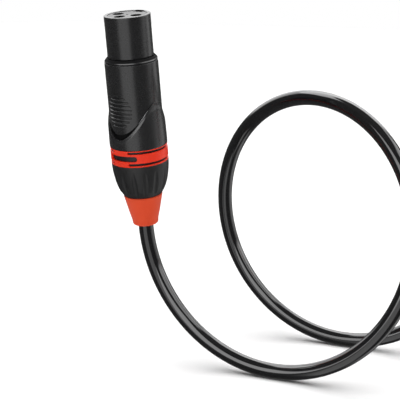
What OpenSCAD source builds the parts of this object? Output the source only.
// Coiled balanced audio cable with a three-pole socket connector at one end
// and a three-pole plug connector at the other. The coil stands on its rim:
// +Z is up, the floor is z = 0, the coil's own axis runs along +Y, and the
// origin is on the floor under the middle of the coil.
// Along each connector "depth" is counted from the socket connector's face
// towards the cable, and every rear part has the same depth on both ends.

/* [Cable] */
// Outside diameter of the jacket
cable_d = 5.4; // [5.2:0.1:5.6]
// Jacket wall thickness
jacket_wall = 0.75; // [0.6:0.05:0.8]
// Outside diameter of one insulated wire
wire_d = 1.3; // [1.1:0.05:1.3]
// Diameter of the bare copper in a wire
copper_d = 0.6; // [0.4:0.05:0.7]
// Distance of the insulated wires from the cable's centre
wire_offset = 0.95; // [0.92:0.01:1]

/* [Coil] */
// Radius of the coil to the cable's centreline
coil_r = 47.6; // [44:0.1:60]
// Distance between one turn and the next
coil_pitch = 49.1; // [44:0.1:60]
// Angle at which the cable leaves the socket connector
start_angle = 178; // [176:1:180]

/* [Connector body] */
// Length of a connector from the socket face to the end of its boot
conn_len = 76.4; // [76:0.1:78]
// Diameter of the nose that enters a plug
nose_d = 15.9; // [15.8:0.05:15.95]
// Length of the nose
nose_len = 14.6; // [14.4:0.1:14.8]
// Outside diameter of the socket connector's shell
shell_d = 18.75; // [18.6:0.05:18.8]
// Outside diameter of the plug connector's barrel
barrel_d = 19.1; // [19.05:0.05:19.2]
// Inside diameter of the plug connector's barrel
barrel_bore_d = 16.2; // [16.1:0.05:16.3]
// Depth of the sleeve's edge between the thumb pads
edge_peak = 29.6; // [29.5:0.1:30]
// How far the sleeve's edge dips at each thumb pad
edge_dip = 12.55; // [12:0.05:12.6]
// How much the gap around the tongue widens towards the thumb pads
tongue_gap = 1.0; // [0.8:0.1:1.4]

/* [Contacts] */
// Circle that the contacts stand on
contact_pcd = 8; // [7.9:0.05:8.1]
// Diameter of a plug contact
pin_d = 2.4; // [2.3:0.05:2.4]
// Inside diameter of a socket contact
socket_d = 2.44; // [2.42:0.01:2.5]

/* [Colour ring and nut] */
// Depth at which the colour ring begins
ring_top = 45.7; // [45.6:0.1:45.9]
// Height of the colour ring
ring_h = 5.9; // [5.7:0.1:6]
// Number of finger flutes on the nut
flutes = 15; // [12:1:18]
// Thread pitch: how far the nut moves in one turn (the thread itself isn't modelled)
thread_pitch = 1.25; // [1:0.25:1.25]

/* [Hidden] */
$fn = 64;

// Colours
jacket_black = [0.03, 0.03, 0.032];
shell_black = [0.09, 0.09, 0.095];
sleeve_black = [0.1, 0.1, 0.105];
nut_black = [0.1, 0.1, 0.1];
insert_black = [0.13, 0.13, 0.135];
wire_red = [0.75, 0.12, 0.1];
wire_white = [0.9, 0.9, 0.88];
copper = [0.78, 0.45, 0.26];
contact_gold = [0.8, 0.66, 0.3];
clip_steel = [0.72, 0.73, 0.74];
pin_steel = [0.7, 0.71, 0.73];
spring_steel = [0.75, 0.76, 0.78];
solder_grey = [0.74, 0.75, 0.77];
ring_red = [0.88, 0.22, 0.13];
boot_red = [0.83, 0.3, 0.19];
chuck_white = [0.86, 0.86, 0.84];

// Radii across the cable
jacket_r = cable_d / 2;
jacket_bore_r = jacket_r - jacket_wall;
shield_r = jacket_bore_r - 0.05;
shield_bore_r = shield_r - 0.22;
drain_r = 0.3;
drain_offset = 1.2;
tube_sides = 12;
wire_sides = 8;

// Each wire: radius, distance from the cable's centre, direction [inward, sideways], colour
hot_wire = [wire_d / 2, wire_offset, [-1, 0], wire_red];
cold_wire = [wire_d / 2, wire_offset, [0, 1], wire_white];
drain_wire = [drain_r, drain_offset, [1, 0], copper];

// Connector radii and depths that several parts share
nose_r = nose_d / 2;
shell_r = shell_d / 2;
neck_r = 8.5;              // shell under the sleeve and the colour ring
rear_r = 8;                // shell under the nut
fit_gap = 0.05;
ring_end = ring_top + ring_h;
nut_end = 64.2;
jacket_top = 55.8;         // where the jacket is cut back
shield_top = 53.4;         // where the shield is cut back

// Contacts: angles round the connector of contacts 1, 2 and 3, and their solder cups
contact_r = contact_pcd / 2;
socket_azimuths = [0, 180, 270];
plug_azimuths = [180, 0, 270];
cup_bore_r = 1.05;
solder_gap = 0.01;
socket_cup = 31.6;         // depths of the solder cups' ends
plug_cup = 36;
socket_wire_end = socket_cup + 1.5;    // where the insulated wires end
plug_wire_end = plug_cup + 1;
socket_bare_end = socket_cup - 4;      // where the bare copper ends
plug_bare_end = plug_cup - 3.4;

// ---- centreline of the coil ----
mid_angle = 450;           // turn angle at the middle of the coil
end_angle = 2 * mid_angle - start_angle;
section_angle = 10;        // turn angle between one section and the next
function coil_point(a) = [
    coil_r * cos(a),
    coil_pitch * (a - mid_angle) / 360,
    coil_r + jacket_r + coil_r * sin(a)
];
function unit(v) = v / norm(v);
function coil_tangent(a) = unit([-coil_r * sin(a), coil_pitch / (2 * PI), coil_r * cos(a)]);
function coil_inward(a) = [-cos(a), 0, -sin(a)];

// "along" is the cable length from the start of the turns; beyond either end
// of the turns the cable runs on straight into the connector
mm_per_degree = norm([coil_r, coil_pitch / (2 * PI)]) * PI / 180;
turns_len = (end_angle - start_angle) * mm_per_degree;
function angle_at(along) = min(max(start_angle + along / mm_per_degree, start_angle), end_angle);
function overrun(along) = along < 0 ? along : along > turns_len ? along - turns_len : 0;

// the point at a length, moved off the centreline by offset [inward, sideways]
function cable_point(along, offset) =
    let (a = angle_at(along), tangent = coil_tangent(a), inward = coil_inward(a))
    coil_point(a) + overrun(along) * tangent
        + offset[0] * inward + offset[1] * cross(tangent, inward);

function stations(from, to) =
    let (count = ceil((to - from) / (section_angle * mm_per_degree)))
    [for (i = [0:count]) from + (to - from) * i / count];

// flex joints part the coil from the short tail at each connector
flex_angle = 45;
socket_joint = flex_angle * mm_per_degree;
plug_joint = turns_len - socket_joint;
joint_cup_r = jacket_r + 0.12;
cup_mid_r = 2.35;
coil_run = stations(socket_joint, plug_joint);
tail_run = stations(0, socket_joint - 3.4);

function reversed(list) = [for (i = [len(list) - 1:-1:0]) list[i]];
// a path or outline of [along, ...] at the socket's end, turned round for the plug's end
function mirrored(path) = [for (q = reversed(path)) [turns_len - q[0], q[1]]];

// ---- tubes and rods along the cable ----
function ring_offset(r, j, sides) = r * [cos(360 * j / sides), sin(360 * j / sides)];
// triangles between each ring of points and the next; a closed wall also joins last to first
function wall_faces(rings, sides, closed) =
    [for (i = [0:rings - (closed ? 1 : 2)], j = [0:sides - 1], half = [0, 1])
        let (
            this_ring = i * sides,
            next_ring = ((i + 1) % rings) * sides,
            k = (j + 1) % sides
        )
        half == 0 ? [this_ring + j, this_ring + k, next_ring + k]
            : [this_ring + j, next_ring + k, next_ring + j]];

// a closed outline of [along, radius] turned round the cable's centreline
module bent_tube(outline) {
    polyhedron(
        points = [for (q = outline, j = [0:tube_sides - 1])
            cable_point(q[0], ring_offset(q[1], j, tube_sides))],
        faces = wall_faces(len(outline), tube_sides, true));
}

// a round rod through centres of [along, [inward, sideways]]
module strand(centres, r) {
    last_ring = (len(centres) - 1) * wire_sides;
    polyhedron(
        points = [for (q = centres, j = [0:wire_sides - 1])
            cable_point(q[0], q[1] + ring_offset(r, j, wire_sides))],
        faces = concat(
            [[for (j = [0:wire_sides - 1]) wire_sides - 1 - j]],
            [[for (j = [0:wire_sides - 1]) last_ring + j]],
            wall_faces(len(centres), wire_sides, false)));
}

// end_shape lists [distance beyond the joint, radius], from the bore outwards
module coil_tube(outer_r, bore_r, end_shape) {
    start = [for (q = end_shape) [socket_joint - q[0], q[1]]];
    bent_tube(concat(
        start,
        [for (along = coil_run) [along, outer_r]],
        mirrored(start),
        [for (along = reversed(coil_run)) [along, bore_r]]));
}

// outline of a tail at the socket's end, cut back at depth top inside the connector;
// end_shape lists [distance before the joint, radius], from the outside inwards
function tail_outline(outer_r, bore_r, top, end_shape) =
    let (run = concat([top - conn_len], tail_run))
    concat(
        [for (along = run) [along, outer_r]],
        [for (q = end_shape) [socket_joint - q[0], q[1]]],
        [for (along = reversed(run)) [along, bore_r]]);

// the coil's jacket ends in balls that sit in cups on the tails
function cup_point(r) = [sqrt(joint_cup_r * joint_cup_r - r * r), r];
ball_shape = [[1.6, jacket_bore_r], [1.6, 2.17], [1.2, 2.41], [0.7, 2.6]];
cup_shape = [for (r = [jacket_r, cup_mid_r, jacket_bore_r]) cup_point(r)];
jacket_tail = tail_outline(jacket_r, jacket_bore_r, jacket_top, cup_shape);
shield_tail = tail_outline(shield_r, shield_bore_r, shield_top,
    [[2.9, shield_r], [2.9, shield_bore_r]]);

module coil_jacket() { color(jacket_black) coil_tube(jacket_r, jacket_bore_r, ball_shape); }
module coil_shield() {
    color(copper) coil_tube(shield_r, shield_bore_r, [[1.5, shield_bore_r], [1.5, shield_r]]);
}
module socket_tail_jacket() { color(jacket_black) bent_tube(jacket_tail); }
module socket_tail_shield() { color(copper) bent_tube(shield_tail); }
module plug_tail_jacket() { color(jacket_black) bent_tube(mirrored(jacket_tail)); }
module plug_tail_shield() { color(copper) bent_tube(mirrored(shield_tail)); }

// ---- wires ----
// inside a connector each wire swings out from its place in the cable to its contact
swing_start = 50;          // depths between which it swings
swing_end = 38.4;
swing_steps = 7;
function swing(offset, t) = offset + (contact_r - offset) * (3 * t * t - 2 * t * t * t);
// [depth, distance from the axis], from the cable towards the contact
function lead(offset, end_depth) = concat(
    [for (i = [0:swing_steps])
        [swing_start + (swing_end - swing_start) * i / swing_steps,
            swing(offset, i / swing_steps)]],
    [[end_depth, contact_r]]);

// centres of a wire at the socket's end, from its contact to the flex joint
function tail_centres(wire, end_depth) = concat(
    [for (q = reversed(lead(wire[1], end_depth))) [q[0] - conn_len, q[1] * wire[2]]],
    [for (along = concat(tail_run, [socket_joint - 2.9])) [along, wire[1] * wire[2]]]);

module coil_wire(wire) {
    run = concat([socket_joint - 1.5], coil_run, [plug_joint + 1.5]);
    color(wire[3]) strand([for (along = run) [along, wire[1] * wire[2]]], wire[0]);
}
module socket_wire(wire, end_depth) {
    color(wire[3]) strand(tail_centres(wire, end_depth), wire[0]);
}
module plug_wire(wire, end_depth) {
    color(wire[3]) strand(mirrored(tail_centres(wire, end_depth)), wire[0]);
}

// ---- places of the two connectors; in both, z = -depth and the latch or key faces +y ----
// facing is -1 where the cable leaves the connector and 1 where it arrives
module place(angle, facing) {
    z = facing * coil_tangent(angle);
    x = -facing * coil_inward(angle);
    y = cross(z, x);
    origin = coil_point(angle);
    multmatrix([for (i = [0:2]) [x[i], y[i], z[i], origin[i]]])
        translate([0, 0, conn_len]) children();
}
module socket_place() { place(start_angle, -1) children(); }
module plug_place() { place(end_angle, 1) children(); }

// ---- helpers along a connector; from and to are depths ----
// outline of [radius, depth]
module turned(outline) { rotate_extrude() polygon([for (q = outline) [q[0], -q[1]]]); }
module tube(outer_r, inner_r, from, to) {
    translate([0, 0, -to]) rotate_extrude()
        translate([inner_r, 0]) square([outer_r - inner_r, to - from]);
}
module rod(r, from, to) { translate([0, 0, -to]) cylinder(r = r, h = to - from); }
// a block centred on x = 0 that rises from y by height
module block(width, y, height, from, to) {
    translate([-width / 2, y, -to]) cube([width, height, to - from]);
}
// part of a ring, reaching half_angle to each side of azimuth
module ring_piece(outer_r, inner_r, from, to, azimuth, half_angle) {
    translate([0, 0, -to]) rotate([0, 0, azimuth - half_angle])
        rotate_extrude(angle = 2 * half_angle)
            translate([inner_r, 0]) square([outer_r - inner_r, to - from]);
}
// a [y, z] drawing given a width along x
module across(width) {
    translate([-width / 2, 0, 0]) rotate([90, 0, 90]) linear_extrude(width) children();
}
module at_contact(azimuth) { rotate([0, 0, azimuth]) translate([contact_r, 0, 0]) children(); }

// ---- wavy edge between the shell's tongues and the sleeve ----
wave_steps = 28;
wave_reach = 1.15;         // how far the wave runs on, as a share of wave_r
wave_r = 9.9;
wave_turn = 3;
tongue_base_gap = 0.25;
// depth against |y| / radius; the gaps lift the edge in the middle and at the pads
function edge_depth(q, gap, pad_gap) =
    edge_peak + edge_dip * pow(abs(q), 1.6) - gap - pad_gap * pow(abs(q), 6);
// everything between the edge and depth limit
module wave_prism(limit, gap = 0, pad_gap = 0) {
    rotate([0, 0, -wave_turn]) across(28) polygon(concat(
        [for (i = [0:wave_steps])
            let (q = wave_reach * (2 * i / wave_steps - 1))
            [q * wave_r, -edge_depth(q, gap, pad_gap)]],
        [[13, -limit], [-13, -limit]]));
}

// ---- parts of both shells ----
// [radius, depth] of the outside from the body's shoulder to the rear bore
shell_rear = [
    [shell_r, 27], [neck_r, 27], [neck_r, ring_end], [rear_r, ring_end],
    [rear_r, 59], [7.7, 59.3], [7.1, 59.3]
];
module tongues() {
    difference() {
        tube(shell_r, 8.4, 26.9, 42);
        wave_prism(44, gap = tongue_base_gap, pad_gap = tongue_gap);
    }
}

groove_half_angles = [19, 27, 31, 33, 33, 31.5, 26, 18.5];
groove_top = 26.9;
groove_pitch = 1.37;
groove_w = 0.8;
groove_depth = 0.35;
module pad_grooves(azimuth) {
    for (i = [0:len(groove_half_angles) - 1]) {
        from = groove_top + groove_pitch * i;
        ring_piece(shell_r + 1, shell_r - groove_depth, from, from + groove_w,
            azimuth, groove_half_angles[i]);
    }
}

// ---- contacts, clips and soldering, in both connectors ----
// bore of a solder cup, and the opening in its outer side
module cup_cut(from, to) {
    rod(cup_bore_r, from, to);
    translate([0, -2, -to]) cube([3, 4, 2.2]);
}

module ground_clip(azimuth, from, to, lug_r, lug_from, lug_to) {
    color(clip_steel) union() {
        ring_piece(6.9, 6.6, from, to, azimuth, 20);
        ring_piece(lug_r, 6.85, lug_from, lug_to, azimuth, 7);
    }
}

// bare ends of the hot and cold wires, which begin just inside their insulation
module wire_tips(azimuths, bare_end, wire_end) {
    color(copper) for (n = [2, 3])
        at_contact(azimuths[n - 1]) rod(copper_d / 2, bare_end, wire_end - 0.02);
}

// solder round each wire in its cup; contact 1 takes the drain wire
module solder(azimuths, from, to) {
    color(solder_grey) for (n = [1:3])
        at_contact(azimuths[n - 1]) tube(cup_bore_r - solder_gap,
            (n == 1 ? drain_r : copper_d / 2) + solder_gap, from, to);
}

// ---- socket connector ----
key_w = 3.9;
key_floor = 5.4;
pivot_depth = 38.6;
pivot_y = 6.9;
module across_pivot(r, width) {
    translate([-width / 2, pivot_y, -pivot_depth]) rotate([0, 90, 0]) cylinder(r = r, h = width);
}

module socket_shell() {
    color(shell_black) difference() {
        union() {
            // [radius, depth]
            turned(concat([
                // nose
                [6.9, 0], [nose_r - 0.4, 0], [nose_r, 0.4], [nose_r, 10.7], [nose_r - 0.2, 11],
                [nose_r - 0.2, nose_len + 0.9],
                // narrow groove and rounded collar in front of the body
                [8.5, nose_len + 0.9], [8.5, nose_len + 0.2], [8.65, nose_len],
                [9, nose_len + 0.02], [9.24, nose_len + 0.3], [9.26, nose_len + 1.0],
                [9.1, nose_len + 1.1], [9.1, nose_len + 1.3], [shell_r, nose_len + 1.42]
            ], shell_rear, [
                // bore, from the rear to the face
                [7.1, 44], [7.6, 43.5], [7.6, 17], [6.9, 17]
            ]));
            tongues();
        }
        // keyway, open at the face and along the nose
        block(key_w, 5, 6, -0.6, 11.4);
        // slot for the latch's hook and arm
        block(4, 5.2, 2.78, 11.3, 17.6);
        block(4, 5.2, 6, 11.3, 14.5);
        // window for the latch's button
        block(7.2, 5, 6, 19.5, 35.6);
        // slot that clears the lever behind the button
        block(5.2, 5, 2.9, 35.4, 40.4);
        // hole for the latch's pin
        across_pivot(0.6, 8.8);
        pad_grooves(-90);
    }
}

module socket_insert() {
    color(insert_black) difference() {
        turned([[0, 0.15], [6.6, 0.15], [6.85, 0.4], [6.85, 26], [0, 26]]);
        // stepped holes for the contacts
        for (azimuth = socket_azimuths) at_contact(azimuth) {
            rod(1.55, -0.7, 2.3);
            rod(1.95, 2.2, 22.05);
            rod(1.55, 21, 27);
        }
        // keyway, and the deeper and wider channels under the latch
        block(key_w, key_floor, 4, -1, 27);
        block(4.2, 4.6, 4, 9, 27);
        block(7.6, 5, 4, 18, 27);
        // index mark at the centre of the face
        block(1.2, -0.15, 0.3, -0.5, 0.5);
        // pocket for the ground clip
        ring_piece(7.5, 6.5, 17.5, 24.5, 0, 24);
    }
}

module socket_contact(n) {
    color(contact_gold) at_contact(socket_azimuths[n - 1]) difference() {
        union() {
            rod(1.9, n == 1 ? 2.4 : 3.2, 15);      // contact 1 stands further forward
            rod(1.45, 14.9, 21.8);
            rod(1.9, 21, 21.95);
            rod(1.45, 21.8, socket_cup);
        }
        rod(socket_d / 2, 0, 13.6);
        cup_cut(socket_cup - 5.2, socket_cup + 0.4);
        // side slots that let the contact spring
        block(0.4, -3, 6, 1.5, 11);
    }
}

module socket_ground_clip() {
    ground_clip(0, 17.8, 24.2, lug_r = 7.45, lug_from = 19.8, lug_to = 21.2);
}
module socket_solder() { solder(socket_azimuths, socket_cup - 4.4, socket_cup - 2.4); }

module latch_lever() {
    color(shell_black) difference() {
        union() {
            // button with the shell's own curve
            intersection() {
                block(6.9, 7.1, 3, 19.7, 35.4);
                rod(shell_r, 18, 37);
            }
            // arm forward to the hook
            block(3.7, 6.1, 1.3, 12.4, 22);
            // hook with a sloped nose, as [y, z]
            across(3.4) polygon([
                [6.1, -12.3], [7.5, -12.3], [8.7, -13.1], [8.7, -13.9], [6.1, -13.9]]);
            // back end around the pin
            block(4.6, 6.1, 1.4, 21.6, 36);
            block(4.6, 5.8, 1.7, 35.6, 39.6);
        }
        across_pivot(0.55, 6);
        pad_grooves(90);
    }
}

module latch_pin() { color(pin_steel) across_pivot(0.5, 8.6); }

// leaf spring carried under the lever, with its free end bowed towards the insert, as [y, z]
module latch_spring() {
    color(spring_steel) across(2.8) polygon([
        [6.05, -35.2], [5.85, -35.2], [5.85, -31], [5.08, -25.6],
        [5.08, -24.8], [5.28, -24.8], [6.05, -31]]);
}

// ---- rear parts, the same on both connectors; outlines are [radius, depth] ----
module sleeve() {
    bore_r = neck_r + fit_gap;
    color(sleeve_black) difference() {
        turned([
            [bore_r, 28.8], [9.65, 28.8], [9.77, 31], [9.93, 34], [10.05, 37], [10.15, 40],
            [10.23, 43.5], [10.23, 45.2], [10.17, ring_top], [bore_r, ring_top]]);
        // what lies in front of the wavy edge
        intersection() {
            wave_prism(20);
            tube(12, 8, 28, 43.9);
        }
    }
}

module colour_ring() {
    bore_r = neck_r + fit_gap;
    outer_r = 10.15;
    chamfer = 0.12;
    middle = ring_top + ring_h / 2;
    color(ring_red) difference() {
        turned([
            [bore_r, ring_top], [outer_r - chamfer, ring_top], [outer_r, ring_top + chamfer],
            [outer_r, ring_end - chamfer], [outer_r - chamfer, ring_end], [bore_r, ring_end]]);
        // windows on the +y and -y sides
        for (azimuth = [-90, 90])
            ring_piece(11, 8.4, middle - 0.85, middle + 0.85, azimuth, 34.5);
        // two shallow grooves on the +x and -x sides
        for (azimuth = [0, 180], from = [middle - 2.43, middle + 1.82])
            ring_piece(11, 9.05, from, from + 0.62, azimuth, 72);
    }
}

flute_r = 1.5;
flute_axis_r = 11.38;      // distance of a flute's axis from the nut's, at flute_depth
flute_depth = 53.2;
flute_tilt = 14.9;
flute_turn = 6.2;          // turn of the first flute round the nut
module nut() {
    bore_r = rear_r + fit_gap;
    color(nut_black) difference() {
        turned([
            [bore_r, ring_end + 0.05], [10.05, ring_end + 0.05], [10.15, ring_end + 0.25],
            [10.13, 53], [10.04, 54.2], [9.86, 55.6], [9.6, 57.2], [9.29, 58.75],
            [8.89, 60.2], [8.36, 61.75], [8, 62.4], [7.6, 63.02], [7.2, 63.65],
            [6.95, 64.02], [6.8, nut_end],
            // inside, back towards the front
            [5.68, nut_end], [5.68, 63.3], [6.5, 63.25], [6.5, 62.1], [bore_r, 59.7]]);
        for (i = [0:flutes - 1])
            rotate([0, 0, 360 * i / flutes + flute_turn])
                translate([flute_axis_r, 0, -flute_depth])
                    rotate([0, 180 + flute_tilt, 0])
                        translate([0, 0, -1]) cylinder(r = flute_r, h = 14);
    }
}

module boot() {
    bore_r = jacket_r + 0.15;
    boot_end = conn_len - 0.7;
    color(boot_red) difference() {
        turned([
            [bore_r, 62.3], [6.2, 62.3], [6.2, 63.12], [5.6, 63.17],
            [5.6, nut_end + 0.05], [6.65, nut_end + 0.05], [6.85, nut_end + 0.25],
            [6.8, 65.2], [6.17, 68.2], [5.26, 71.9], [4.64, 74.4], [4.4, 75.1],
            [3.9, 75.55], [3.4, boot_end], [bore_r, boot_end]]);
        // room for the chuck's fingers
        turned([[0, 62], [4.8, 62], [4.8, 65.5], [bore_r, 66.6], [0, 66.6]]);
    }
}

module chuck() {
    color(chuck_white) difference() {
        turned([
            [5.1, 45], [7.0, 45], [7.0, 50], [6.6, 50.4], [6.6, 57.8], [6.9, 58.4],
            [6.95, 59.6], [6.4, 60.9], [4.6, 62], [4.5, 65.2], [jacket_r, 65.4],
            [jacket_r, 56.4], [3.5, 55.6], [5.1, 54]]);
        // slots between the four fingers
        for (i = [0:3])
            rotate([0, 0, 45 + 90 * i]) translate([0, -0.6, -66]) cube([8, 1.2, 12.5]);
    }
}

// ---- plug connector ----
plug_face = 7.4;           // depth of the barrel's open end
module plug_shell() {
    barrel_r = barrel_d / 2;
    bore_r = barrel_bore_d / 2;
    color(shell_black) difference() {
        union() {
            // [radius, depth]
            turned(concat([
                [bore_r, plug_face + 0.3], [bore_r + 0.3, plug_face],
                [barrel_r - 0.35, plug_face], [barrel_r, plug_face + 0.35],
                [barrel_r, 14], [shell_r, 14.15]
            ], shell_rear, [
                [7.1, 23.6], [6.5, 23.6], [6.5, 22.4], [bore_r, 22.4]
            ]));
            tongues();
            // key rib inside the barrel
            block(3.4, 6.5, 1.9, 11.8, 22.5);
        }
        // window that the other connector's latch drops into
        block(4.4, 7, 4, 7.95, 10.35);
        pad_grooves(-90);
        pad_grooves(90);
    }
}

module plug_insert() {
    color(insert_black) difference() {
        turned([[0, 22.6], [6.45, 22.6], [6.45, 23.65], [7.05, 23.7], [7.05, 30.5], [0, 30.5]]);
        // holes for the contacts and their collars
        for (azimuth = plug_azimuths) at_contact(azimuth) {
            rod(1.25, 22, 31);
            rod(1.75, 25.95, 28.05);
        }
        // pocket for the ground clip
        ring_piece(8, 6.5, 24.5, 30, 180, 24);
    }
}

module plug_contact(n) {
    front = n == 1 ? 10.4 : 11;
    color(contact_gold) at_contact(plug_azimuths[n - 1]) difference() {
        union() {
            turned([
                [0, front], [0.55, front], [pin_d / 2, front + 0.9],
                [pin_d / 2, 22.5], [1, 22.55], [1, 31], [0, 31]]);
            rod(1.7, 26.1, 27.95);
            rod(1.45, 30.6, plug_cup);
        }
        cup_cut(plug_cup - 4.4, plug_cup + 0.2);
    }
}

module plug_ground_clip() {
    ground_clip(180, 24.8, 29.7, lug_r = 7.08, lug_from = 26.6, lug_to = 28);
}
module plug_solder() { solder(plug_azimuths, plug_cup - 3.9, plug_cup - 2.3); }

coil_jacket();
coil_shield();
coil_wire(hot_wire);  // coil_hot_wire
coil_wire(cold_wire);  // coil_cold_wire
coil_wire(drain_wire);  // coil_drain_wire

socket_tail_jacket();
socket_tail_shield();
socket_wire(hot_wire, socket_wire_end);  // socket_hot_wire
socket_wire(cold_wire, socket_wire_end);  // socket_cold_wire
socket_wire(drain_wire, socket_bare_end);  // socket_drain_wire
socket_place() wire_tips(socket_azimuths, socket_bare_end, socket_wire_end);  // socket_wire_tips
socket_place() socket_solder();

plug_tail_jacket();
plug_tail_shield();
plug_wire(hot_wire, plug_wire_end);  // plug_hot_wire
plug_wire(cold_wire, plug_wire_end);  // plug_cold_wire
plug_wire(drain_wire, plug_bare_end);  // plug_drain_wire
plug_place() wire_tips(plug_azimuths, plug_bare_end, plug_wire_end);  // plug_wire_tips
plug_place() plug_solder();

socket_place() socket_shell();
socket_place() socket_insert();
socket_place() socket_contact(1);  // socket_contact_1
socket_place() socket_contact(2);  // socket_contact_2
socket_place() socket_contact(3);  // socket_contact_3
socket_place() socket_ground_clip();
socket_place() latch_lever();
socket_place() latch_pin();
socket_place() latch_spring();
socket_place() sleeve();  // socket_sleeve
socket_place() colour_ring();  // socket_colour_ring
socket_place() chuck();  // socket_chuck
socket_place() nut();  // socket_nut
socket_place() boot();  // socket_boot

plug_place() plug_shell();
plug_place() plug_insert();
plug_place() plug_contact(1);  // plug_contact_1
plug_place() plug_contact(2);  // plug_contact_2
plug_place() plug_contact(3);  // plug_contact_3
plug_place() plug_ground_clip();
plug_place() sleeve();  // plug_sleeve
plug_place() colour_ring();  // plug_colour_ring
plug_place() chuck();  // plug_chuck
plug_place() nut();  // plug_nut
plug_place() boot();  // plug_boot
